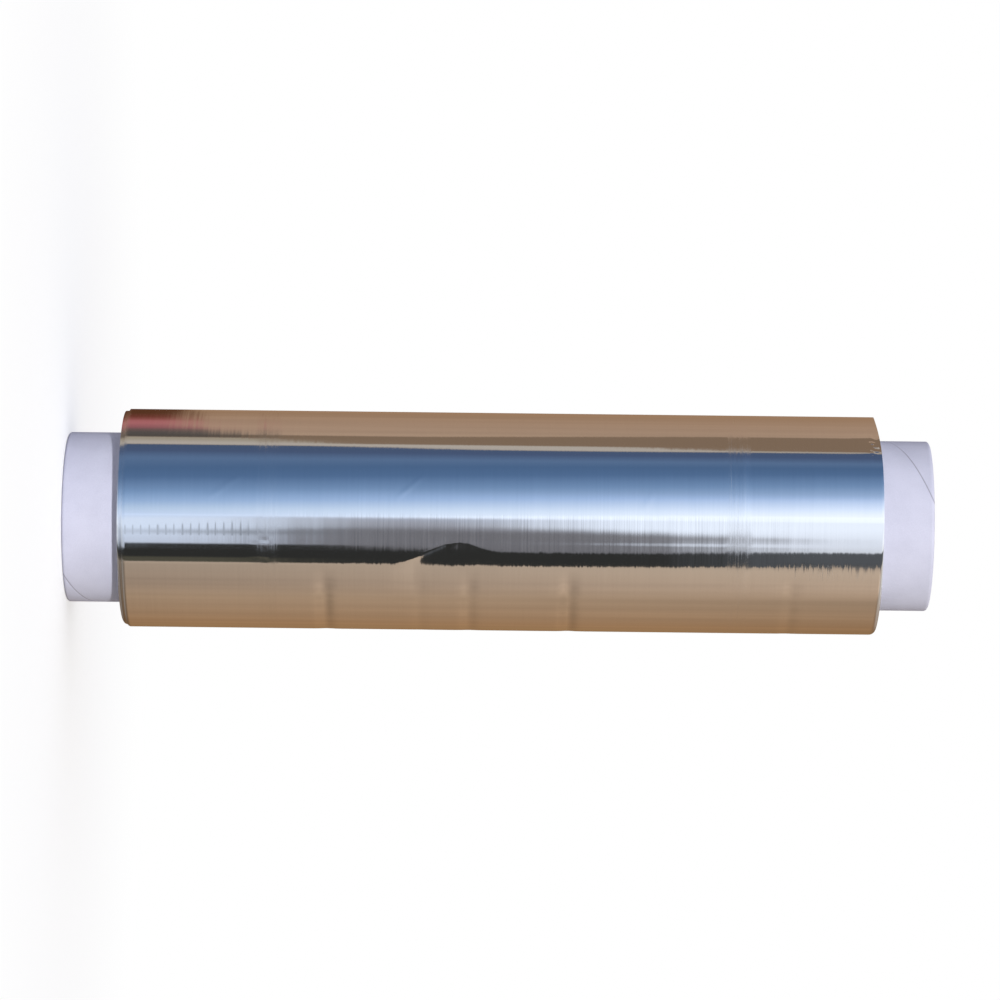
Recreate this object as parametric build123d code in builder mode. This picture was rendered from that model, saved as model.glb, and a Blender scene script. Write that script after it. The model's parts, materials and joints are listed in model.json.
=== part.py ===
from build123d import *
import math
import os

# Catering roll of aluminium foil on a spiral-wound paper tube, in millimetres.
# It stands on one end of its tube. The axis of the tube is +Z, and the origin is the middle of
# the tube's lower end face.

# Paper tube
tube_bore = 51.0            # inside diameter, a 2 inch core
tube_wall = 8.6             # thickness of the wound paper
tube_below = 22.7           # bare tube under the foil
tube_above = 20.8           # bare tube over the outermost turns
outer_edge_round = 1.2      # pressed edge round the outside of each end
inner_edge_chamfer = 0.6    # trimmed edge round the mouth of the bore
seam_pitch = 89.9           # rise of the outer ply's seam in one turn
seam_start_angle = 311.0    # where the seam leaves the lower end, from +X
seam_width = 0.8            # gap between neighbouring turns of the outer ply
seam_depth = 0.35           # thickness of the outer ply

# Wound foil
foil_width = 300.0          # width of the sheet, the same in every turn
winding_build = 9.8         # thickness of all the turns together
outer_turns_build = 0.8     # thickness of the outermost turns, which have drifted
outer_turns_drift = 1.9     # how far these stand over the rest at the upper end
turn_bands = 6              # bands of turns under them that show on the end faces
band_wander = 0.35          # how far every second band has wandered along the tube
lower_shoulder = 2.4        # rounding of the foil's lower end
upper_shoulder = 1.2        # rounding of the foil's upper end
free_end_angle = 155.0      # where the sheet's free end lies, from +X
free_end_step = 0.25        # height of the free end over the turn beneath

bore_radius = tube_bore / 2
tube_radius = bore_radius + tube_wall
winding_radius = tube_radius + winding_build
foil_start = tube_below
foil_end = foil_start + foil_width + outer_turns_drift
tube_length = foil_end + tube_above

os.makedirs("parts", exist_ok=True)

# The tube's wall is one section turned round the axis. Each end is cut square, pressed round on
# the outside and lightly trimmed at the bore.
with BuildPart() as core_tube:
    with BuildSketch(Plane.XZ) as wall_section:
        with Locations((bore_radius, 0)):
            Rectangle(tube_wall, tube_length, align=(Align.MIN, Align.MIN))
        fillet(wall_section.vertices().group_by(Axis.X)[-1], outer_edge_round)
        chamfer(wall_section.vertices().group_by(Axis.X)[0], inner_edge_chamfer)
    revolve(axis=Axis.Z)

    # The outer ply is a strip of paper wound on a slant. Its seam is a shallow V groove that
    # climbs the tube as a right-handed helix and runs out through both ends. It is cut one turn
    # at a time, from a share of a turn below the lower end to past the upper end. The cutter is
    # twice as wide and twice as high as the groove, with its upper half outside the tube.
    seam_lead = 0.6
    seam_turns = math.ceil(tube_length / seam_pitch) + 1
    seam_angle_below = seam_start_angle - 360 * seam_lead
    for turn in range(seam_turns):
        turn_start = Plane.XY.offset(seam_pitch * (turn - seam_lead))
        with BuildLine(turn_start.rotated((0, 0, seam_angle_below))) as seam_path:
            Helix(seam_pitch, seam_pitch, tube_radius)
        with BuildSketch(Plane(origin=seam_path.line @ 0, z_dir=seam_path.line % 0, x_dir=(0, 0, 1))):
            Polygon((seam_width, seam_depth), (0, -seam_depth), (-seam_width, seam_depth))
        sweep(path=seam_path.line, is_frenet=True, mode=Mode.SUBTRACT)

# The envelope of the turns, with the shoulders that handling has rounded. It reaches inside the
# tube by a little, and the bore is cut to the tube afterwards.
bore_allowance = 2 * free_end_step
section_plane = Plane.XZ.rotated((0, 0, free_end_angle + 180))

with BuildSketch(section_plane) as envelope:
    with Locations((tube_radius - bore_allowance, foil_start)):
        Rectangle(winding_build + bore_allowance, foil_end - foil_start, align=(Align.MIN, Align.MIN))
    lower_corner, upper_corner = envelope.vertices().group_by(Axis.X)[-1].sort_by(Axis.Y)
    fillet(lower_corner, lower_shoulder)
    fillet(upper_corner, upper_shoulder)

# Every band of turns is the full width of the sheet. The bands have wandered along the tube by
# different amounts, which leaves the steps that show on both end faces.
band_build = (winding_build - outer_turns_build) / turn_bands

with BuildSketch(section_plane) as turns_section:
    with Locations((tube_radius - bore_allowance, foil_start)):
        Rectangle(bore_allowance, foil_width, align=(Align.MIN, Align.MIN))
    for band in range(turn_bands):
        with Locations((tube_radius + band * band_build, foil_start + band_wander * (band % 2))):
            Rectangle(band_build, foil_width, align=(Align.MIN, Align.MIN))
    with Locations((winding_radius - outer_turns_build, foil_start + outer_turns_drift)):
        Rectangle(outer_turns_build, foil_width, align=(Align.MIN, Align.MIN))
    add(envelope.sketch, mode=Mode.INTERSECT)

# The outline is a spiral of two half turns. The half that ends in the free end is centred on the
# tube. The other half is centred off it by half a step, so that it starts one step lower there.
with BuildPart() as foil_winding:
    revolve(turns_section.sketch, axis=Axis.Z, revolution_arc=180)
    spiral_centre = section_plane.from_local_coords((free_end_step / 2, 0))
    revolve(turns_section.sketch, axis=Axis(spiral_centre, (0, 0, 1)), revolution_arc=-180)
    with Locations((0, 0, foil_start)):
        Cylinder(
            tube_radius,
            foil_end - foil_start,
            align=(Align.CENTER, Align.CENTER, Align.MIN),
            mode=Mode.SUBTRACT,
        )

for piece, name in ((core_tube, "core_tube"), (foil_winding, "foil_winding")):
    piece.part.label = name
    export_step(piece.part, f"parts/{name}.step")
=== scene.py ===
import json
import math
import random

import bpy
from mathutils import Matrix, Vector, noise


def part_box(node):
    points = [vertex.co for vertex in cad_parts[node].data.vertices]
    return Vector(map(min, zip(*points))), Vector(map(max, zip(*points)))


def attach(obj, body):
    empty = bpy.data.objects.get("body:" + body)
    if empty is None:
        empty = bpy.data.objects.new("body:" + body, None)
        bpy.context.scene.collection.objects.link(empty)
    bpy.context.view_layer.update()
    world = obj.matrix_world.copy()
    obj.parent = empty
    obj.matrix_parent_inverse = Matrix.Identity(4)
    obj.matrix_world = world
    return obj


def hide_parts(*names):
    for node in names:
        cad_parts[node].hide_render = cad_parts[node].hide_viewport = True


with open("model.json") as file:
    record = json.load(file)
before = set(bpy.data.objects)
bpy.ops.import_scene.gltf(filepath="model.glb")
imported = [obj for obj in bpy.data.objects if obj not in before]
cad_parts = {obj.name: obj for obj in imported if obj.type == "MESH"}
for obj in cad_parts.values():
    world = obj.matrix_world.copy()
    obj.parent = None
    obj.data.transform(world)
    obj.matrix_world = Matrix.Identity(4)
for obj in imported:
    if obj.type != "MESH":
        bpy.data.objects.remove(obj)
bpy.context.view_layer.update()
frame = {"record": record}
scene = bpy.context.scene
mm = 0.001


# Core tube
# A tube of white paper, wound on a slant from several plies and glued, then cut square to length.
# The seam of its outer ply climbs it as a helix, and the cut ends show the edges of the plies.

tube_low, tube_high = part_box("core_tube")
foil_low, foil_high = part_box("foil_winding")
spindle_bore = next(m for m in frame["record"]["mounts"] if m["name"] == "spindle_bore")
bore_radius = spindle_bore["dims"]["r_mm"] * mm
tube_radius = (tube_high.x - tube_low.x) / 2
tube_length = tube_high.z

tube_columns = 240
ply_count = 9
ply_wander = 0.12 * mm
outer_edge_round = 1.2 * mm
inner_edge_chamfer = 0.6 * mm
seam_pitch = 89.9 * mm
seam_start_angle = math.radians(311)
seam_half_width = 0.45 * mm
seam_depth = 0.22 * mm
seam_line_width = 0.5 * mm
seam_line_colour = (0.20, 0.18, 0.24, 1)
paper_shade = (0.61, 0.615, 0.745, 1)
paper_light = (0.675, 0.68, 0.815, 1)


def steps_between(start, end, spacing):
    """Evenly spaced values after start and before end, at most spacing apart."""
    count = max(1, math.ceil(abs(end - start) / spacing))
    return [start + (end - start) * step / count for step in range(1, count)]


def cut_wall(rng, cut, inward):
    """The cut end of the wall from the bore to the outside, with one small step for each ply."""
    inner = bore_radius + inner_edge_chamfer
    outer = tube_radius - outer_edge_round
    points = [(bore_radius, cut + inward * inner_edge_chamfer)]
    for ply in range(ply_count):
        sunk = ply_wander * rng.random() * (0 < ply < ply_count - 1)
        for edge in (ply, ply + 0.96):
            points.append((inner + (outer - inner) * edge / ply_count, cut + inward * sunk))
    for step in range(1, 7):
        turn = math.radians(90) * step / 6
        points.append((
            outer + outer_edge_round * math.sin(turn),
            cut + inward * outer_edge_round * (1 - math.cos(turn)),
        ))
    return points


def tube_section():
    """The outline of the tube's wall, once round, with close rows where the tube is bare."""
    rng = random.Random(4)
    lower = cut_wall(rng, 0.0, 1)
    upper = cut_wall(rng, tube_length, -1)
    covered_from = foil_low.z + 2 * mm
    covered_to = foil_high.z - 2 * mm
    heights = steps_between(lower[-1][1], covered_from, 0.35 * mm)
    heights += steps_between(covered_from, covered_to, 6 * mm)
    heights += steps_between(covered_to, upper[-1][1], 0.35 * mm)
    side = [(tube_radius, z) for z in heights]
    bore = [(bore_radius, z) for z in steps_between(upper[0][1], lower[0][1], 5 * mm)]
    return lower + side + upper[::-1] + bore + lower[:1]


def add_node(tree, kind, inputs=None, **settings):
    """Adds a node with its settings, and feeds its inputs, given by name or by number."""
    made = tree.nodes.new(kind)
    for setting, value in settings.items():
        setattr(made, setting, value)
    sockets = [s for s in made.inputs if s.enabled]
    for name, value in (inputs or {}).items():
        socket = sockets[name] if isinstance(name, int) else next(s for s in sockets if s.name == name)
        if isinstance(value, bpy.types.NodeSocket):
            tree.links.new(value, socket)
        else:
            socket.default_value = value
    return made


def calc(tree, operation, *values):
    """One step of arithmetic on numbers or sockets."""
    return add_node(tree, "ShaderNodeMath", dict(enumerate(values)), operation=operation).outputs[0]


def plus(tree, base, value, amount):
    """The base with the value times the amount added to it."""
    return calc(tree, "MULTIPLY_ADD", value, amount, base)


def product(tree, *values):
    """All the values multiplied together."""
    made = values[0]
    for value in values[1:]:
        made = calc(tree, "MULTIPLY", made, value)
    return made


def ease(tree, value, start, end, low=0.0, high=1.0):
    """A soft step from low to high as the value goes from start to end."""
    made = add_node(tree, "ShaderNodeMapRange", {
        "Value": value, "From Min": start, "From Max": end, "To Min": low, "To Max": high,
    }, interpolation_type="SMOOTHSTEP")
    return made.outputs["Result"]


def mix_colours(tree, share, first, second):
    """The first colour where the share is 0, and the second where it is 1."""
    made = add_node(tree, "ShaderNodeMix", {"Factor": share, "A": first, "B": second}, data_type="RGBA")
    return next(s for s in made.outputs if s.enabled)


def colour_ramp(tree, value, low, high, stops):
    """Colours over the value from low to high. Each stop is a value and its colour."""
    share = add_node(tree, "ShaderNodeMapRange", {
        "Value": value, "From Min": low, "From Max": high, "To Min": 0.0, "To Max": 1.0})
    ramp = add_node(tree, "ShaderNodeValToRGB", {0: share.outputs["Result"]})
    elements = ramp.color_ramp.elements
    elements.remove(elements[1])
    elements[0].position = 0.0
    elements[0].color = stops[0][1]
    for place, colour in stops:
        elements.new((place - low) / (high - low)).color = colour
    return ramp.outputs[0]


def split(tree, vector):
    """The three parts of a vector."""
    return add_node(tree, "ShaderNodeSeparateXYZ", {0: vector}).outputs


def start_turning(name, sizes):
    """A tree that turns a section, which is a line of points, once round the roll's axis. Returns the
    tree, its inputs, the flat mesh, the share of the way round, and the radius and the height."""
    tree = bpy.data.node_groups.new(name, "GeometryNodeTree")
    tree.interface.new_socket("Piece", in_out="OUTPUT", socket_type="NodeSocketGeometry")
    tree.interface.new_socket("Section", in_out="INPUT", socket_type="NodeSocketGeometry")
    tree.interface.new_socket("Columns", in_out="INPUT", socket_type="NodeSocketInt")
    for size in sizes:
        tree.interface.new_socket(size, in_out="INPUT", socket_type="NodeSocketFloat")
    entry = tree.nodes.new("NodeGroupInput").outputs
    size = add_node(tree, "GeometryNodeAttributeDomainSize", {0: entry["Section"]}, component="MESH")
    rows = size.outputs["Point Count"]
    grid = add_node(tree, "GeometryNodeMeshGrid", {
        "Size X": 1.0, "Size Y": 1.0,
        "Vertices X": calc(tree, "ADD", entry["Columns"], 1.0), "Vertices Y": rows,
    })
    position = tree.nodes.new("GeometryNodeInputPosition").outputs[0]
    flat = split(tree, position)
    around = calc(tree, "ADD", flat["X"], 0.5)
    along = calc(tree, "MULTIPLY", calc(tree, "ADD", flat["Y"], 0.5), calc(tree, "SUBTRACT", rows, 1.0))
    point = add_node(tree, "GeometryNodeSampleIndex", {
        "Geometry": entry["Section"], "Value": position, "Index": calc(tree, "ROUND", along),
    }, data_type="FLOAT_VECTOR")
    section = split(tree, point.outputs[0])
    return tree, entry, grid.outputs["Mesh"], around, section["X"], section["Z"]


def finish_turning(tree, mesh, angle, radius, height, material):
    """Puts each point at its angle, radius and height, closes the joint and sets the finish."""
    place = add_node(tree, "ShaderNodeCombineXYZ", {
        "X": calc(tree, "MULTIPLY", radius, calc(tree, "COSINE", angle)),
        "Y": calc(tree, "MULTIPLY", radius, calc(tree, "SINE", angle)),
        "Z": height,
    }).outputs[0]
    turned = add_node(tree, "GeometryNodeSetPosition", {0: mesh, "Position": place}).outputs[0]
    closed = add_node(tree, "GeometryNodeMergeByDistance", {0: turned, "Distance": 0.004 * mm}).outputs[0]
    smooth = add_node(tree, "GeometryNodeSetShadeSmooth", {0: closed, 2: True}, domain="FACE").outputs[0]
    bend = tree.nodes.new("GeometryNodeInputMeshEdgeAngle").outputs[0]
    steep = add_node(tree, "FunctionNodeCompare", {"A": bend, "B": math.radians(38)},
                     data_type="FLOAT", operation="GREATER_THAN").outputs[0]
    crisp = add_node(tree, "GeometryNodeSetShadeSmooth", {0: smooth, 1: steep, 2: False}, domain="EDGE")
    real = add_node(tree, "GeometryNodeRealizeInstances", {0: crisp.outputs[0]}).outputs[0]
    painted = add_node(tree, "GeometryNodeSetMaterial", {0: real, "Material": material}).outputs[0]
    tree.links.new(painted, tree.nodes.new("NodeGroupOutput").inputs["Piece"])


def turn_section(name, section, tree, values):
    """Runs the tree on a section of (radius, height) points and keeps the result as a plain mesh."""
    line = bpy.data.meshes.new(name + "_section")
    line.from_pydata([(r, 0.0, z) for r, z in section], [], [])
    maker = bpy.data.objects.new(name + "_maker", line)
    scene.collection.objects.link(maker)
    modifier = maker.modifiers.new(tree.name, "NODES")
    modifier.node_group = tree
    for socket in tree.interface.items_tree:
        if socket.name in values:
            modifier[socket.identifier] = values[socket.name]
    evaluated = maker.evaluated_get(bpy.context.evaluated_depsgraph_get())
    mesh = bpy.data.meshes.new_from_object(evaluated)
    mesh.name = name
    maker.modifiers.remove(modifier)
    bpy.data.objects.remove(maker)
    piece = bpy.data.objects.new(name, mesh)
    scene.collection.objects.link(piece)
    return piece


def paper_material():
    """White paper with fine fibres and faint clouds, and a frayed line along the seam."""
    material = bpy.data.materials.new("wound_white_paper")
    material.use_nodes = True
    tree = material.node_tree
    shader = tree.nodes["Principled BSDF"]
    where = tree.nodes.new("ShaderNodeTexCoord").outputs["Object"]
    fibres = add_node(tree, "ShaderNodeTexNoise", {
        "Vector": where, "Scale": 2600.0, "Detail": 4.0, "Roughness": 0.6}).outputs[0]
    clouds = add_node(tree, "ShaderNodeTexNoise", {
        "Vector": where, "Scale": 90.0, "Detail": 3.0}).outputs[0]
    tone = product(tree, calc(tree, "ADD", fibres, clouds), 0.5)
    paper = colour_ramp(tree, tone, 0.38, 0.60, [(0.38, paper_shade), (0.60, paper_light)])
    x, y, z = split(tree, where)
    from_start = calc(tree, "SUBTRACT", calc(tree, "ARCTAN2", y, x), seam_start_angle)
    over_seam = plus(tree, z, from_start, -seam_pitch / math.tau)
    from_seam = calc(tree, "ABSOLUTE", calc(tree, "WRAP", over_seam, seam_pitch / 2, -seam_pitch / 2))
    frayed = product(tree, fibres, seam_line_width)
    line = ease(tree, from_seam, product(tree, frayed, 1.3), product(tree, frayed, 0.4), 0.0, 0.6)
    from_end = calc(tree, "MINIMUM", z, calc(tree, "SUBTRACT", tube_length, z))
    line = product(tree, line, ease(tree, from_end, 10 * mm, 15 * mm, 1.0, 0.3))
    colour = mix_colours(tree, line, paper, seam_line_colour)
    tree.links.new(colour, shader.inputs["Base Color"])
    shader.inputs["Roughness"].default_value = 0.7
    shader.inputs["Specular IOR Level"].default_value = 0.3
    grain = add_node(tree, "ShaderNodeBump", {
        "Strength": 0.4, "Distance": 0.08 * mm, "Height": fibres})
    tree.links.new(grain.outputs[0], shader.inputs["Normal"])
    return material


tree, entry, mesh, around, radius, height = start_turning("Spiral paper tube", [
    "Tube Radius", "Seam Pitch", "Seam Start", "Seam Half Width", "Seam Depth"])
angle = calc(tree, "MULTIPLY", around, math.tau)
turns_from_start = calc(tree, "DIVIDE", calc(tree, "SUBTRACT", angle, entry["Seam Start"]), math.tau)
from_seam = calc(tree, "SUBTRACT", height, calc(tree, "MULTIPLY", turns_from_start, entry["Seam Pitch"]))
half_pitch = calc(tree, "MULTIPLY", entry["Seam Pitch"], 0.5)
from_seam = calc(tree, "ABSOLUTE", calc(
    tree, "WRAP", from_seam, half_pitch, calc(tree, "MULTIPLY", half_pitch, -1.0)))
groove = ease(tree, from_seam, 0.0, entry["Seam Half Width"], entry["Seam Depth"], 0.0)
outside = calc(tree, "GREATER_THAN", radius, calc(tree, "SUBTRACT", entry["Tube Radius"], 0.3 * mm))
sunk = calc(tree, "SUBTRACT", radius, calc(tree, "MULTIPLY", groove, outside))
finish_turning(tree, mesh, angle, sunk, height, paper_material())

core = turn_section("paper_core", tube_section(), tree, {
    "Columns": tube_columns,
    "Tube Radius": tube_radius,
    "Seam Pitch": seam_pitch,
    "Seam Start": seam_start_angle,
    "Seam Half Width": seam_half_width,
    "Seam Depth": seam_depth,
})
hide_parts("core_tube")
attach(core, "root")


# Foil winding
# One sheet of aluminium foil, 300 mm wide, rolled bright on the side that faces out and wound
# tightly on the tube. The edges of its turns make fine steps on both end faces.

foil_radius = max(foil_high.x, foil_high.y, -foil_low.x, -foil_low.y)
foil_start = foil_low.z
foil_end = foil_high.z

foil_columns = 440
open_row = 4 * mm
outer_turns_build = 0.8 * mm
outer_turns_drift = 1.9 * mm
turn_edges = 9
turn_wander = 0.3 * mm
free_end_angle = math.radians(155)
free_end_step = 0.25 * mm
free_end_edge = math.radians(0.12)

# Wear from handling is placed by its height on the roll and by its arc, which is the distance
# round the foil, up in the picture from the line that faces the camera. The hollows are given as
# the height of the middle and the depth.
hollow_width = 2.8 * mm
hollow_depths = {
    104.4 * mm: 0.16 * mm,
    142.0 * mm: 0.04 * mm,
    161.4 * mm: 0.11 * mm,
    201.0 * mm: 0.19 * mm,
    288.6 * mm: 0.09 * mm,
}
belt_mark_inset = 57.0 * mm
belt_mark_width = 10.6 * mm
rim_haze_and_shade_reach = 1.8 * mm
flat_spacing = 3.25 * mm
flat_arc = -4.9 * mm

# Stretches of the face with other wear, and two with painted highlights, in millimetres: the height
# from, the height to and the softness of both edges, and then the same three for the arc.
rubbed_face = (100, 285, 30, -12, 2.5, 1)
combed_end = (284, 330, 12, -23, -15.5, 1.2)
combed_side = (110, 330, 20, -23, -11, 3)
scratch_highlight = (174.1, 174.5, 0.15, -10, 2.4, 0.8)
ring_highlight = (269.5, 272, 1, -28, 34, 6)

foil_colour = (0.93, 0.94, 0.94)
foil_roughness = 0.06
stretched_shine = 0.5


def turn_edge_steps(rng, end, inward, inner_level, outer_level):
    """An end face from the tube outwards: the edges of the turns, and then the drifted turns."""
    drifted_from = foil_radius - outer_turns_build
    edge_spacing = (drifted_from - tube_radius) / turn_edges
    points = []
    for edge in range(turn_edges):
        level = inner_level + turn_wander * rng.random() * (edge < turn_edges - 1)
        for side in (edge, edge + 0.95):
            points.append((tube_radius + edge_spacing * side, end + inward * level))
    for step in range(4):
        level = inner_level + (outer_level - inner_level) * step / 4
        points.append((drifted_from, end + inward * level))
    for step in range(4):
        points.append((drifted_from + outer_turns_build * step / 3, end + inward * outer_level))
    return points


def winding_section(worn):
    """The outline of the winding, once round, with close rows on the worn stretches."""
    rng = random.Random(11)
    lower = turn_edge_steps(rng, foil_start, 1, 0.0, outer_turns_drift)
    upper = turn_edge_steps(rng, foil_end, -1, outer_turns_drift - turn_wander, 0.0)
    side = []
    z = lower[-1][1]
    while z < upper[-1][1] - open_row / 8:
        rows = [row for start, end, row in worn if start <= z < end]
        z = min(z + min(rows + [open_row]), upper[-1][1] - open_row / 16)
        side.append((foil_radius, z))
    return lower + side + upper[::-1] + lower[:1]


def vector_calc(tree, operation, *values):
    """One step of arithmetic on vectors. A vector is scaled by a number."""
    return add_node(tree, "ShaderNodeVectorMath", dict(enumerate(values)), operation=operation).outputs[0]


def band(tree, value, low, high, soft):
    """1 where the value lies between low and high, and 0 beyond, with soft edges."""
    above_low = ease(tree, value, calc(tree, "SUBTRACT", low, soft), calc(tree, "ADD", low, soft))
    below_high = ease(tree, value, calc(tree, "ADD", high, soft), calc(tree, "SUBTRACT", high, soft))
    return product(tree, above_low, below_high)


def patch(tree, z, arc, stretch):
    """1 on a stretch of the foil's face, and 0 beyond."""
    low, high, soft, low_arc, high_arc, soft_arc = (size * mm for size in stretch)
    return product(tree, band(tree, z, low, high, soft), band(tree, arc, low_arc, high_arc, soft_arc))


def rolling_lines(tree, where, across_scale, along_scale, detail):
    """Fine lines that run round the roll, as unevenness about zero."""
    place = vector_calc(tree, "MULTIPLY", where, (across_scale, across_scale, along_scale))
    made = add_node(tree, "ShaderNodeTexNoise", {
        "Vector": place, "Scale": 1.0, "Detail": detail, "Roughness": 0.6}).outputs[0]
    return calc(tree, "SUBTRACT", made, 0.5)


def belt_marks(tree, z):
    """Two hazy belts, equally far from the ends of the outermost turns. The lower one is fainter."""
    middle = (foil_start + outer_turns_drift + foil_end) / 2
    belt_place = (foil_end - foil_start - outer_turns_drift) / 2 - belt_mark_inset
    from_middle = calc(tree, "ABSOLUTE", calc(tree, "SUBTRACT", z, middle))
    from_belt = calc(tree, "ABSOLUTE", calc(tree, "SUBTRACT", from_middle, belt_place))
    belt = ease(tree, from_belt, belt_mark_width / 2 + 0.8 * mm, belt_mark_width / 2 - 2.4 * mm)
    return product(tree, belt, ease(tree, z, 90 * mm, 250 * mm, 0.55, 1.0))


def narrow_flats(tree, z, arc, unevenness):
    """A row of narrow flats near the lower end. Returns how flat the foil is at this place, and
    the arc from the middle of the row."""
    beat = plus(tree, calc(tree, "DIVIDE", z, flat_spacing), unevenness, 0.5)
    beat = calc(tree, "COSINE", product(tree, beat, math.tau))
    flats = calc(tree, "POWER", calc(tree, "MAXIMUM", beat, 0.0), 4.0)
    flats = product(tree, flats, ease(tree, z, 84 * mm, 66 * mm), ease(tree, arc, -7 * mm, -6 * mm))
    from_flat = calc(tree, "SUBTRACT", arc, flat_arc)
    reach = ease(tree, z, 25 * mm, 80 * mm, 2.2 * mm, 4.4 * mm)
    return product(tree, flats, ease(tree, calc(tree, "DIVIDE", from_flat, reach), 1.3, 0.7)), from_flat


def leaned_normal(tree, around, around_lean, along_lean):
    """The foil's normal, leaned by small amounts round the roll and along it."""
    facing = tree.nodes.new("ShaderNodeNewGeometry").outputs["Normal"]
    rising = add_node(tree, "ShaderNodeCombineXYZ", {"Z": along_lean}).outputs[0]
    normal = vector_calc(tree, "ADD", facing, vector_calc(tree, "SCALE", around, around_lean))
    return vector_calc(tree, "NORMALIZE", vector_calc(tree, "ADD", normal, rising))


def foil_material():
    """Bright rolled foil: a mirror stretched by lines round the roll, with the marks of handling, and
    painted shade and highlights on some of them.
    """
    material = bpy.data.materials.new("bright_foil")
    material.use_nodes = True
    tree = material.node_tree
    shader = tree.nodes["Principled BSDF"]
    shader.inputs["Metallic"].default_value = 1.0
    shader.inputs["Anisotropic"].default_value = stretched_shine
    shader.inputs["Anisotropic Rotation"].default_value = 0.25
    where = tree.nodes.new("ShaderNodeTexCoord").outputs["Object"]
    x, y, z = split(tree, where)
    minus_x = product(tree, x, -1.0)
    minus_y = product(tree, y, -1.0)
    arc = product(tree, foil_radius, calc(tree, "ARCTAN2", minus_x, minus_y))
    across = add_node(tree, "ShaderNodeCombineXYZ", {"X": minus_y, "Y": x}).outputs[0]
    around = vector_calc(tree, "NORMALIZE", across)
    tree.links.new(around, shader.inputs["Tangent"])

    belt = belt_marks(tree, z)
    combed = patch(tree, z, arc, combed_end)
    fine_lines = rolling_lines(tree, where, 24, 1500, 3.0)
    comb_lines = rolling_lines(tree, where, 60, 1700, 1.0)
    broad_lines = rolling_lines(tree, where, 20, 330, 2.0)
    waves = rolling_lines(tree, where, 16, 130, 2.0)

    # Scuffs: a comb of short lines low at the upper end, and narrow flats near the lower end.
    comb_depth = plus(tree, 0.006, belt, 0.03)
    comb_depth = plus(tree, comb_depth, combed, 0.10)
    comb_depth = plus(tree, comb_depth, patch(tree, z, arc, combed_side), 0.035)
    flats, from_flat = narrow_flats(tree, z, arc, broad_lines)
    around_lean = product(tree, comb_lines, comb_depth)
    around_lean = plus(tree, around_lean, flats, calc(tree, "DIVIDE", from_flat, foil_radius))
    along_lean = plus(tree, product(tree, fine_lines, 0.012), waves, 0.008)
    tree.links.new(leaned_normal(tree, around, around_lean, along_lean), shader.inputs["Normal"])

    # Rubbed lines take some of the shine, most of all on the face. A scratch and a faint ring get
    # painted highlights, and the rim of the lower end gets painted shade low down.
    rubbed = plus(tree, 0.04, patch(tree, z, arc, rubbed_face), 0.45)
    tone = plus(tree, 0.98, rubbed, plus(tree, fine_lines, broad_lines, 0.5))
    tone = plus(tree, tone, flats, -0.10)
    # Painted highlights: a scratch and a faint ring are drawn brighter in the foil's colour.
    tone = plus(tree, tone, patch(tree, z, arc, scratch_highlight), 0.5)
    tone = plus(tree, tone, patch(tree, z, arc, ring_highlight), 0.05)
    rim_end = foil_start + outer_turns_drift
    rim = ease(tree, z, rim_end + rim_haze_and_shade_reach, rim_end)
    # Painted shade: the rim of the lower end is darker low down. The rim also gets real haze in the
    # roughness.
    tone = plus(tree, tone, rim, ease(tree, arc, 4 * mm, -24 * mm, 0.0, -0.45))

    # Each hollow is darker over its upper half and brighter over its lower half: painted shade and a
    # painted highlight.
    below_front = ease(tree, arc, -22 * mm, -38 * mm)
    for hollow, depth in hollow_depths.items():
        past = calc(tree, "DIVIDE", calc(tree, "SUBTRACT", z, hollow), hollow_width)
        fading = calc(tree, "EXPONENT", product(tree, past, past, -1.0))
        tone = plus(tree, tone, product(tree, past, fading, below_front), -2.4 * depth / mm)
    colour = vector_calc(tree, "SCALE", foil_colour, calc(tree, "MINIMUM", tone, 1.06))
    tree.links.new(colour, shader.inputs["Base Color"])

    haze = product(tree, belt, calc(tree, "ADD", 0.02, calc(tree, "ABSOLUTE", fine_lines)))
    haze = plus(tree, haze, combed, calc(tree, "ABSOLUTE", comb_lines))
    rough = plus(tree, plus(tree, foil_roughness, haze, 0.9), rim, 0.10)
    tree.links.new(rough, shader.inputs["Roughness"])
    return material


tree, entry, mesh, around, radius, height = start_turning("Foil winding", [
    "Tube Radius", "Foil Radius", "Free End Angle", "Free End Step", "Free End Edge"])
whole_turn = calc(tree, "SUBTRACT", 1.0, calc(tree, "DIVIDE", 1.0, entry["Columns"]))
is_edge = calc(tree, "GREATER_THAN", around, calc(tree, "ADD", whole_turn, 0.0001))
turn = calc(tree, "MULTIPLY", calc(tree, "MINIMUM", calc(tree, "DIVIDE", around, whole_turn), 1.0),
            calc(tree, "SUBTRACT", math.tau, entry["Free End Edge"]))
turn = calc(tree, "ADD", turn, calc(tree, "MULTIPLY", is_edge, entry["Free End Edge"]))
angle = calc(tree, "ADD", entry["Free End Angle"], turn)
spiral = calc(tree, "ADD", 1.0, calc(tree, "COSINE", calc(tree, "MINIMUM", turn, math.pi)))
spiral = calc(tree, "MAXIMUM", calc(tree, "MULTIPLY", spiral, 0.5), is_edge)
build = calc(tree, "DIVIDE", calc(tree, "SUBTRACT", radius, entry["Tube Radius"]),
             calc(tree, "SUBTRACT", entry["Foil Radius"], entry["Tube Radius"]))
drop = calc(tree, "MULTIPLY", calc(tree, "MULTIPLY", spiral, build), entry["Free End Step"])
finish_turning(tree, mesh, angle, calc(tree, "SUBTRACT", radius, drop), height, foil_material())

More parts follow.
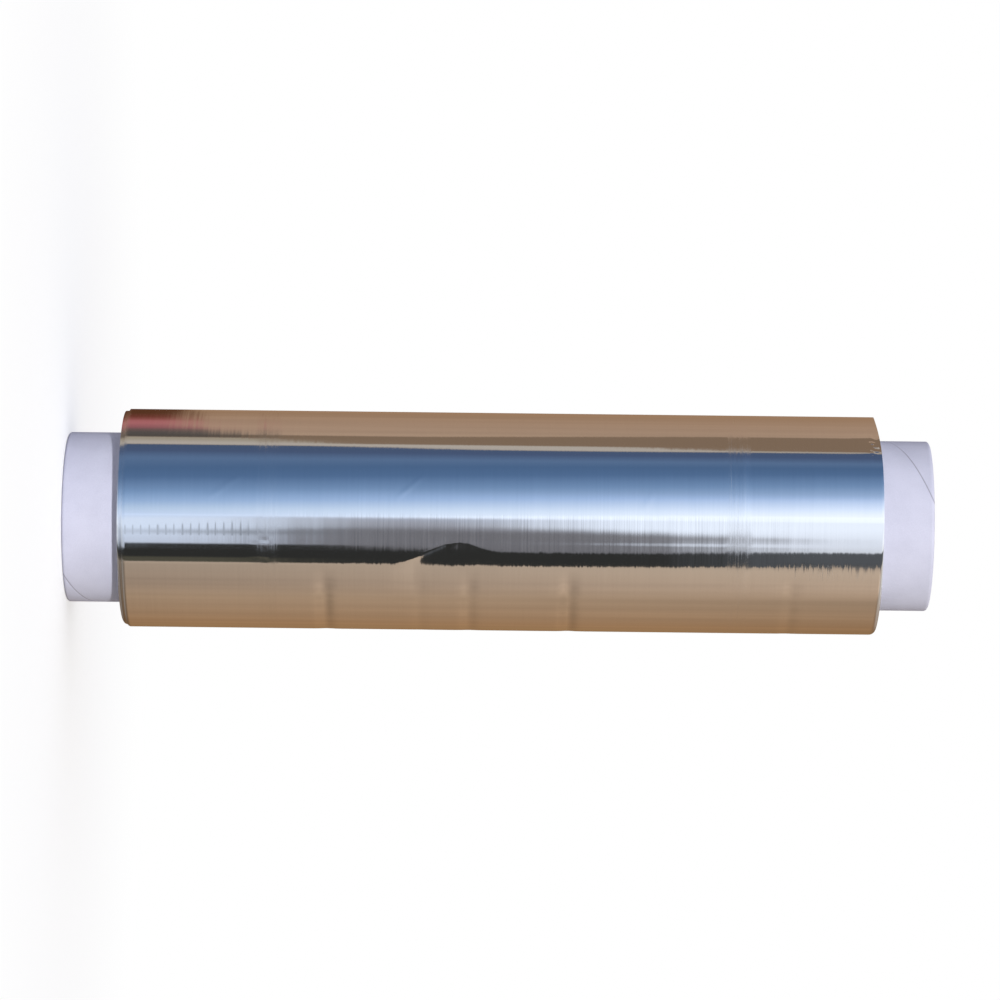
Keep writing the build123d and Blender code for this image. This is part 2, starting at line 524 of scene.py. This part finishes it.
dent_fall = 3.0 * mm
dent_return = 12.0 * mm
dent_lip_rise = 0.12
dent_lip_reach = 1.2 * mm
dent_lip = [
    # height, arc of the lip, how far the foil is pressed in under it
    (131.0, -17.4, 0.00),
    (136.0, -16.0, 0.20),
    (139.9, -14.6, 0.42),
    (147.4, -11.0, 0.44),
    (152.5, -8.6, 0.44),
    (157.0, -7.8, 0.42),
    (160.5, -8.2, 0.34),
    (165.9, -10.0, 0.16),
    (174.0, -12.0, 0.00),
]
fold_lines = [
    # middle height, middle arc, half length, slope in degrees, how far it stands out
    (138, 13.5, 6, 42, 0.020),
    (65, 13.0, 8, 38, 0.016),
    (232, 9.0, 4, 65, 0.012),
]
crumples = [
    # height, arc, reach along, reach round, roughness of the crumple
    (321.5, 36, 2.5, 5, 0.28),
    (80.3, -15.2, 1.6, 2.6, 0.17),
    (82.0, -9.5, 1.0, 2.0, 0.08),
]
fold_width = 0.9 * mm
bent_arc = 58 * mm
bent_reach = 22 * mm
bent_depth = 1.7 * mm


def dent_height(z, arc):
    """The dent: a small lip, a steep fall under it and a long return, in metres out of the round."""
    for start, end in zip(dent_lip, dent_lip[1:]):
        if start[0] * mm <= z < end[0] * mm:
            share = (z / mm - start[0]) / (end[0] - start[0])
            ridge, pressed = (a + (b - a) * share for a, b in zip(start[1:], end[1:]))
            below = ridge * mm - arc
            if below < 0:
                return dent_lip_rise * pressed * mm * math.exp(below / dent_lip_reach)
            fallen = math.exp(-below / dent_return) - (1 + dent_lip_rise) * math.exp(-below / dent_fall)
            return -pressed * mm * fallen
    return 0.0


def share_between(value, start, end):
    """How far the value has come from start to end: 0 up to the start and 1 past the end."""
    return min(1.0, max(0.0, (value - start) / (end - start)))


def worn_height(z, arc):
    """How far the foil's surface stands out of the round at this place, in metres."""
    out = 0.0
    below_front = share_between(arc, -19 * mm, -28 * mm)
    before_back = share_between(arc, -110 * mm, -90 * mm)
    for hollow, depth in hollow_depths.items():
        out -= depth * below_front * before_back * math.exp(-((z - hollow) / hollow_width) ** 2)
    if -45 * mm < arc < 10 * mm:
        out += dent_height(z, arc)
    for middle, middle_arc, half_length, slope, height in fold_lines:
        dz = z - middle * mm
        da = arc - middle_arc * mm
        along = dz * math.cos(math.radians(slope)) + da * math.sin(math.radians(slope))
        off = da * math.cos(math.radians(slope)) - dz * math.sin(math.radians(slope))
        fade = math.exp(-(along / (half_length * mm)) ** 4 - (off / fold_width) ** 2)
        out += height * mm * fade
    for middle, middle_arc, reach_along, reach_round, amount in crumples:
        along = (z / mm - middle) / reach_along
        round_it = (arc / mm - middle_arc) / reach_round
        fade = math.exp(-along ** 2 - round_it ** 2)
        if fade > 0.01:
            out += amount * mm * fade * noise.noise(Vector((z, arc, 0)) * 900)
    return out


def rounded(radius, z, edge, end, inward, shoulder):
    """Moves a point near the corner of a shoulder on to its round."""
    out = radius - (edge - shoulder)
    past = inward * (end - z) + shoulder
    if 0 < out <= shoulder * 1.01 and 0 < past <= shoulder * 1.01 and math.hypot(out, past) > shoulder:
        scale = shoulder / math.hypot(out, past)
        return edge - shoulder + out * scale, end + inward * (shoulder - past * scale)
    return radius, z


def wear_foil(mesh):
    """Presses the wear into the foil and rounds its shoulders, more on the side that it lay on.
    The upper shoulder is bent a little towards the lower end, high up in the picture."""
    drifted_from = foil_radius - outer_turns_build
    for vertex in mesh.vertices:
        x, y, z = vertex.co
        radius = math.hypot(x, y)
        angle = math.atan2(y, x)
        arc = foil_radius * ((-math.pi / 2 - angle + math.pi) % math.tau - math.pi)
        lain_on = max(0.0, math.cos(angle)) ** 1.5
        if radius < drifted_from + 0.05 * mm:
            shoulder = (0.4 + 1.3 * lain_on) * mm
            radius, z = rounded(radius, z, drifted_from, foil_start, 1, shoulder)
        else:
            shoulder = (0.3 + 0.5 * lain_on) * mm
            radius, z = rounded(radius, z, foil_radius, foil_start + outer_turns_drift, 1, shoulder)
        radius, z = rounded(radius, z, foil_radius, foil_end, -1, (0.25 + 2.0 * lain_on) * mm)
        if radius > foil_radius - 2 * free_end_step and foil_start + 3 * mm < z:
            radius += worn_height(z, arc) * share_between(z, foil_start + 3 * mm, foil_start + 6 * mm)
        if radius > foil_radius - 3 * mm:
            bent_in = math.exp(-((arc - bent_arc) / bent_reach) ** 2)
            z -= bent_depth * bent_in * share_between(z, foil_end - 7 * mm, foil_end)
        vertex.co = (radius * math.cos(angle), radius * math.sin(angle), z)


worn_stretches = [
    # from, to, distance between rows
    (foil_start, foil_start + 4.5 * mm, 0.7 * mm),
    (57 * mm, 73 * mm, 1.3 * mm),
    (78 * mm, 86 * mm, 0.7 * mm),
    (131 * mm, 172 * mm, 0.7 * mm),
    (227 * mm, 237 * mm, 1.3 * mm),
    (foil_end - 9 * mm, foil_end, 0.7 * mm),
]
worn_stretches += [(hollow - 6 * mm, hollow + 6 * mm, 1.3 * mm) for hollow in hollow_depths]
foil = turn_section("foil_turns", winding_section(worn_stretches), tree, {
    "Columns": foil_columns,
    "Tube Radius": tube_radius,
    "Foil Radius": foil_radius,
    "Free End Angle": free_end_angle,
    "Free End Step": free_end_step,
    "Free End Edge": free_end_edge,
})
wear_foil(foil.data)
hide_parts("foil_winding")
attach(foil, "root")


# Floor
# A plain white floor that shows the roll's soft shadow. The foil's mirror doesn't see it.

floor_half = 4.0
floor_glow = 0.58
floor_white_from = 0.06
floor_white_to = 0.40

floor_mesh = bpy.data.meshes.new("floor")
floor_mesh.from_pydata([(-floor_half, -floor_half, 0), (floor_half, -floor_half, 0),
                        (floor_half, floor_half, 0), (-floor_half, floor_half, 0)], [], [(0, 1, 2, 3)])
floor = bpy.data.objects.new("floor", floor_mesh)
scene.collection.objects.link(floor)
floor.visible_glossy = False
floor_material = bpy.data.materials.new("white_floor")
floor_material.use_nodes = True
tree = floor_material.node_tree
shader = tree.nodes["Principled BSDF"]
shader.inputs["Base Color"].default_value = (0.9, 0.9, 0.9, 1)
shader.inputs["Roughness"].default_value = 1.0
shader.inputs["Specular IOR Level"].default_value = 0.0
shader.inputs["Emission Color"].default_value = (1, 1, 1, 1)
seen = tree.nodes.new("ShaderNodeLightPath").outputs["Is Camera Ray"]
tree.links.new(product(tree, seen, floor_glow), shader.inputs["Emission Strength"])
from_roll = add_node(tree, "ShaderNodeVectorMath", {
    0: tree.nodes.new("ShaderNodeTexCoord").outputs["Object"]}, operation="LENGTH").outputs["Value"]
far_white = add_node(tree, "ShaderNodeEmission", {"Color": (1, 1, 1, 1), "Strength": 1.0})
fade = add_node(tree, "ShaderNodeMixShader", {
    0: product(tree, seen, ease(tree, from_roll, floor_white_from, floor_white_to)),
    1: shader.outputs[0], 2: far_white.outputs[0]})
tree.links.new(fade.outputs[0], tree.nodes["Material Output"].inputs["Surface"])
floor_mesh.materials.append(floor_material)


# Surroundings and lamps
# The foil is a mirror, so its look is what stands round it: pale sky in front and above, a dark
# line low in front, and sandy ground and walls below, behind and over it.
# Directions are in degrees round the roll, up from the side that the camera looks from.

pale_sky = (0.82, 0.89, 0.98, 1)
surroundings = [
    (-180, (0.28, 0.16, 0.07, 1)),
    (-140, (0.34, 0.195, 0.10, 1)),
    (-90, (0.38, 0.26, 0.17, 1)),
    (-70, (0.41, 0.30, 0.22, 1)),
    (-48, (0.44, 0.34, 0.26, 1)),
    (-40, (0.44, 0.36, 0.30, 1)),
    (-34, (0.56, 0.59, 0.63, 1)),
    (-20, (0.70, 0.75, 0.83, 1)),
    (-8, pale_sky),
    (4, pale_sky),
    (9, (0.70, 0.80, 0.95, 1)),
    (24, (0.34, 0.47, 0.71, 1)),
    (36, (0.175, 0.285, 0.485, 1)),
    (50, (0.085, 0.157, 0.302, 1)),
    (60, (0.072, 0.135, 0.262, 1)),
    (68, (0.10, 0.165, 0.295, 1)),
    (76, (0.066, 0.098, 0.185, 1)),
    (88, (0.060, 0.090, 0.155, 1)),
    (92, (0.41, 0.285, 0.205, 1)),
    (125, (0.38, 0.25, 0.17, 1)),
    (155, (0.33, 0.20, 0.12, 1)),
]
white = (1, 1, 1, 1)
sky_tints = [(0.86, 0.90, 1.0, 1), (1.10, 1.09, 1.12, 1)]
sky_tints_above = [(0.94, 0.98, 1.0, 1), (1.17, 1.16, 1.19, 1)]
patch_greys = [(0.36, 0.385, 0.47, 1), (0.285, 0.29, 0.335, 1), (0.155, 0.152, 0.168, 1)]
low_tail_grey = (0.20, 0.215, 0.25, 1)
high_tail_grey = (0.20, 0.20, 0.22, 1)
line_darks = [(0.026, 0.026, 0.025, 1), (0.085, 0.09, 0.10, 1)]
line_foot_brown = (0.075, 0.070, 0.052, 1)
beam_brown = (0.215, 0.145, 0.098, 1)
ledge_tans = [(0.44, 0.39, 0.345, 1), (0.35, 0.30, 0.235, 1)]
russet_corner = [
    (95, (0.075, 0.065, 0.057, 1)),
    (103, (0.087, 0.075, 0.07, 1)),
    (108, (0.14, 0.085, 0.082, 1)),
    (112, (0.27, 0.097, 0.11, 1)),
    (120, (0.40, 0.13, 0.14, 1)),
    (125, (0.38, 0.12, 0.125, 1)),
    (130, (0.25, 0.07, 0.063, 1)),
    (136, (0.15, 0.038, 0.027, 1)),
    (148, (0.095, 0.034, 0.016, 1)),
]
overhead_pale = (0.85, 0.87, 0.90, 1)
soft_middle = (0.075, 0.085, 0.115, 1)
soft_sides = [(0.52, 0.45, 0.35, 1), (0.52, 0.54, 0.63, 1)]


def limited(tree, value, low, high):
    """The value, held between low and high."""
    return calc(tree, "MAXIMUM", calc(tree, "MINIMUM", value, high), low)


world = bpy.data.worlds.new("surroundings")
scene.world = world
world.use_nodes = True
tree = world.node_tree
background = tree.nodes["Background"]
towards = tree.nodes.new("ShaderNodeTexCoord").outputs["Generated"]
dx, dy, dz = split(tree, towards)
turned_up = calc(tree, "ARCTAN2", product(tree, dx, -1.0), product(tree, dy, -1.0))
turned_up = product(tree, turned_up, math.degrees(1))
rise = product(tree, calc(tree, "ARCSINE", dz), math.degrees(1))
steepness = calc(tree, "ABSOLUTE", rise)
near_rise = limited(tree, rise, -7.0, 7.0)
in_sky = product(tree, ease(tree, turned_up, 74.0, 50.0), ease(tree, turned_up, -22.0, 8.0))
bent = calc(tree, "SUBTRACT", turned_up, product(tree, in_sky, near_rise, 1.3))
mirrored = colour_ramp(tree, bent, -180.0, 180.0, surroundings)

# The pale sky is bluer and dimmer towards the lower end, with a bright line along it.
rise_share = plus(tree, 0.5, near_rise, 1 / 9)
tint = mix_colours(tree, rise_share, *sky_tints)
tint_above = mix_colours(tree, rise_share, *sky_tints_above)
tint = mix_colours(tree, ease(tree, turned_up, 2.0, 12.0), tint, tint_above)
tint = mix_colours(tree, band(tree, turned_up, -36.0, 29.0, 5.0), white, tint)
mirrored = vector_calc(tree, "MULTIPLY", mirrored, tint)
bright_line = band(tree, turned_up, 3.2, ease(tree, rise, -2.0, 3.0, 4.6, 9.0), 1.0)
mirrored = vector_calc(tree, "SCALE", mirrored, plus(tree, 1.0, bright_line, 0.09))

# The ground is dimmer towards the lower end: evenly near the dark line, and in two falls far behind.
wide_rise = limited(tree, rise, -12.0, 12.0)
even_fall = product(tree, wide_rise, 0.036)
low_rise = calc(tree, "MINIMUM", calc(tree, "ADD", wide_rise, 3.8), 0.0)
high_rise = calc(tree, "MAXIMUM", calc(tree, "SUBTRACT", wide_rise, 1.8), 0.0)
two_falls = plus(tree, product(tree, low_rise, 0.05), high_rise, -0.028)
far_behind = ease(tree, turned_up, -70.0, -92.0)
fall = plus(tree, even_fall, far_behind, calc(tree, "SUBTRACT", two_falls, even_fall))
fall = product(tree, fall, ease(tree, turned_up, -46.0, -50.0), ease(tree, steepness, 24.0, 13.0))
mirrored = vector_calc(tree, "SCALE", mirrored, calc(tree, "ADD", 1.0, fall))

# The ground and the walls are a little mottled.
mottle = add_node(tree, "ShaderNodeTexNoise", {"Vector": towards, "Scale": 7.0, "Detail": 3.0}).outputs[0]
out_of_sky = calc(tree, "ABSOLUTE", calc(tree, "SUBTRACT", turned_up, 20.0))
mottle = product(tree, calc(tree, "SUBTRACT", mottle, 0.5), ease(tree, out_of_sky, 66.0, 90.0))
mirrored = vector_calc(tree, "SCALE", mirrored, plus(tree, 1.0, mottle, 0.35))

# A grey patch straight in front, with thin tails to both sides and uneven from side to side.
uneven = add_node(tree, "ShaderNodeTexNoise", {
    "W": product(tree, rise, 2.5), "Scale": 1.0, "Detail": 3.0}, noise_dimensions="1D").outputs[0]
shifted = plus(tree, turned_up, calc(tree, "MINIMUM", near_rise, 0.0), 1.3)
patch_tone = mix_colours(tree, ease(tree, shifted, 2.0, -5.0), *patch_greys[:2])
patch_tone = mix_colours(tree, ease(tree, shifted, -4.0, -13.0), patch_tone, patch_greys[2])
patch_tone = vector_calc(tree, "SCALE", patch_tone, plus(tree, 0.6, uneven, 0.8))
far_side = ease(tree, turned_up, -3.0, -16.0, 0.4, 3.0)
far_side = calc(tree, "SUBTRACT", far_side, band(tree, turned_up, -23.5, -20.5, 1.2))
near_side = ease(tree, turned_up, -6.0, -12.0, -1.4, -2.3)
in_patch = product(
    tree, ease(tree, calc(tree, "SUBTRACT", rise, far_side), 1.3, -1.2),
    ease(tree, rise, -4.0, near_side), band(tree, turned_up, -39.0, 3.2, 2.2))
mirrored = mix_colours(tree, in_patch, mirrored, patch_tone)
low_tail = product(
    tree, band(tree, turned_up, -15.5, -11.5, 2.6),
    ease(tree, rise, -1.8, -2.8), ease(tree, rise, -4.9, -3.0, 0.2, 0.8))
mirrored = mix_colours(tree, low_tail, mirrored, low_tail_grey)
high_tail = product(
    tree, band(tree, turned_up, -18.0, -14.0, 1.6),
    ease(tree, rise, 4.4, 2.8), ease(tree, rise, 1.0, 2.0, 0.0, 0.5))
mirrored = mix_colours(tree, high_tail, mirrored, high_tail_grey)

# The dark line under the patch. It is lower and narrower from the middle on, and paler at the
# upper end.
line_top = ease(tree, rise, -2.2, -0.6, -26.0, -31.8)
line_top = calc(tree, "ADD", line_top, ease(tree, rise, 1.5, 4.2, 0.0, 3.2))
line_top = calc(tree, "ADD", line_top, ease(tree, rise, -5.2, -6.2, 0.0, -5.8))
line_foot = ease(tree, rise, -1.4, -0.5, -46.2, -47.4)
line_foot = calc(tree, "ADD", line_foot, ease(tree, rise, 0.2, 4.6, 0.0, 2.4))
over_foot = calc(tree, "SUBTRACT", turned_up, line_foot)
in_line = product(
    tree, ease(tree, calc(tree, "SUBTRACT", turned_up, line_top), 1.3, -1.3),
    ease(tree, over_foot, -0.7, 0.7))
line_tone = mix_colours(tree, ease(tree, rise, 2.0, 3.8), *line_darks)
at_foot = product(tree, ease(tree, over_foot, 6.5, 4.0), ease(tree, rise, -2.2, -3.6))
line_tone = mix_colours(tree, at_foot, line_tone, line_foot_brown)
mirrored = mix_colours(tree, in_line, mirrored, line_tone)

# High up, a brown beam stands over a pale line. The line widens to a ledge towards the lower
# end, and there a dim russet corner lies over it.
sky_top = ease(tree, rise, -2.4, 0.2, 85.0, 81.7)
sky_top = calc(tree, "ADD", sky_top, ease(tree, rise, 1.2, 3.2, 0.0, 0.8))
ledge_top = ease(tree, rise, -3.4, -2.0, 95.8, 88.2)
ledge_top = calc(tree, "ADD", ledge_top, ease(tree, rise, 1.5, 2.9, 0.0, -4.2))
beam_top = plus(tree, 102.0, limited(tree, rise, -1.0, 2.6), 1.5)
mirrored = mix_colours(tree, band(tree, turned_up, sky_top, beam_top, 1.0), mirrored, beam_brown)
ledge_tone = mix_colours(tree, ease(tree, turned_up, 87.0, 94.0), *ledge_tans)
mirrored = mix_colours(tree, band(tree, turned_up, sky_top, ledge_top, 1.0), mirrored, ledge_tone)
russet = colour_ramp(tree, turned_up, 90.0, 180.0, russet_corner)
corner_side = ease(tree, turned_up, 98.0, 118.0, -3.3, -3.95)
in_corner = product(
    tree, ease(tree, calc(tree, "SUBTRACT", rise, corner_side), 0.2, -0.2),
    ease(tree, turned_up, 95.0, 97.2), ease(tree, rise, -13.0, -8.0))
mirrored = mix_colours(tree, in_corner, mirrored, russet)

# Well above and below, the colours are weaker. Overhead there is plain pale light, and it is
# dimmer underfoot.
paler = add_node(tree, "ShaderNodeHueSaturation", {
    "Saturation": 0.5, "Value": 1.15, "Color": mirrored}).outputs[0]
mirrored = mix_colours(tree, ease(tree, steepness, 9.0, 24.0), mirrored, paler)
mirrored = mix_colours(tree, ease(tree, rise, 30.0, 65.0), mirrored, overhead_pale)
mirrored = vector_calc(tree, "SCALE", mirrored, ease(tree, rise, -34.0, -75.0, 1.0, 0.3))

# The soft light lights the paper and the floor, but neither the camera nor the mirror sees it. It
# is bluer from above in the picture, and warmer from below.
soft_side = mix_colours(tree, calc(tree, "LESS_THAN", dx, 0.0), *soft_sides)
soft = mix_colours(tree, calc(tree, "ABSOLUTE", dx), soft_middle, soft_side)
path = tree.nodes.new("ShaderNodeLightPath")
lit = mix_colours(tree, path.outputs["Is Glossy Ray"], soft, mirrored)
lit = mix_colours(tree, path.outputs["Is Camera Ray"], lit, white)
tree.links.new(lit, background.inputs["Color"])
background.inputs["Strength"].default_value = 1.0

key_up = math.radians(-2)
key_rise = math.radians(17)
key_strength = 0.78
key_light = bpy.data.lights.new("key", "SUN")
key_light.energy = key_strength * math.pi
key_light.angle = math.radians(3)
key = bpy.data.objects.new("key", key_light)
scene.collection.objects.link(key)
flat_reach = math.cos(key_rise)
to_key = Vector((-math.sin(key_up) * flat_reach, -math.cos(key_up) * flat_reach, math.sin(key_rise)))
key.rotation_euler = to_key.to_track_quat("Z", "Y").to_euler()
key.visible_glossy = False
lit_by_key = bpy.data.collections.new("lit_by_key")
for piece in (core, foil):
    lit_by_key.objects.link(piece)
key.light_linking.receiver_collection = lit_by_key

overhead_light = bpy.data.lights.new("overhead", "AREA")
overhead_light.energy = 6.0
overhead_light.size = 1.2
overhead = bpy.data.objects.new("overhead", overhead_light)
overhead.location = (0, -0.3, 1.8)
scene.collection.objects.link(overhead)
overhead.visible_glossy = False


# Camera
# It looks at the roll square from the side and is rolled, so that the standing roll lies across
# the picture with its upper end to the right and a little lower.

camera_distance = 1.812
picture_roll = math.radians(0.65)
frame_offset = (0.8 * mm, 8.66 * mm)

camera_data = bpy.data.cameras.new("camera")
camera_data.sensor_width = 36
camera_data.lens = 162
camera = bpy.data.objects.new("camera", camera_data)
scene.collection.objects.link(camera)
right = Vector((-math.sin(picture_roll), 0, math.cos(picture_roll)))
up = Vector((-math.cos(picture_roll), 0, -math.sin(picture_roll)))
back = Vector((0, -1, 0))
spot = Vector((0, -camera_distance, tube_length / 2)) + frame_offset[0] * right + frame_offset[1] * up
camera.matrix_world = Matrix.Translation(spot) @ Matrix((right, up, back)).transposed().to_4x4()
scene.camera = camera
scene.view_settings.view_transform = "Standard"
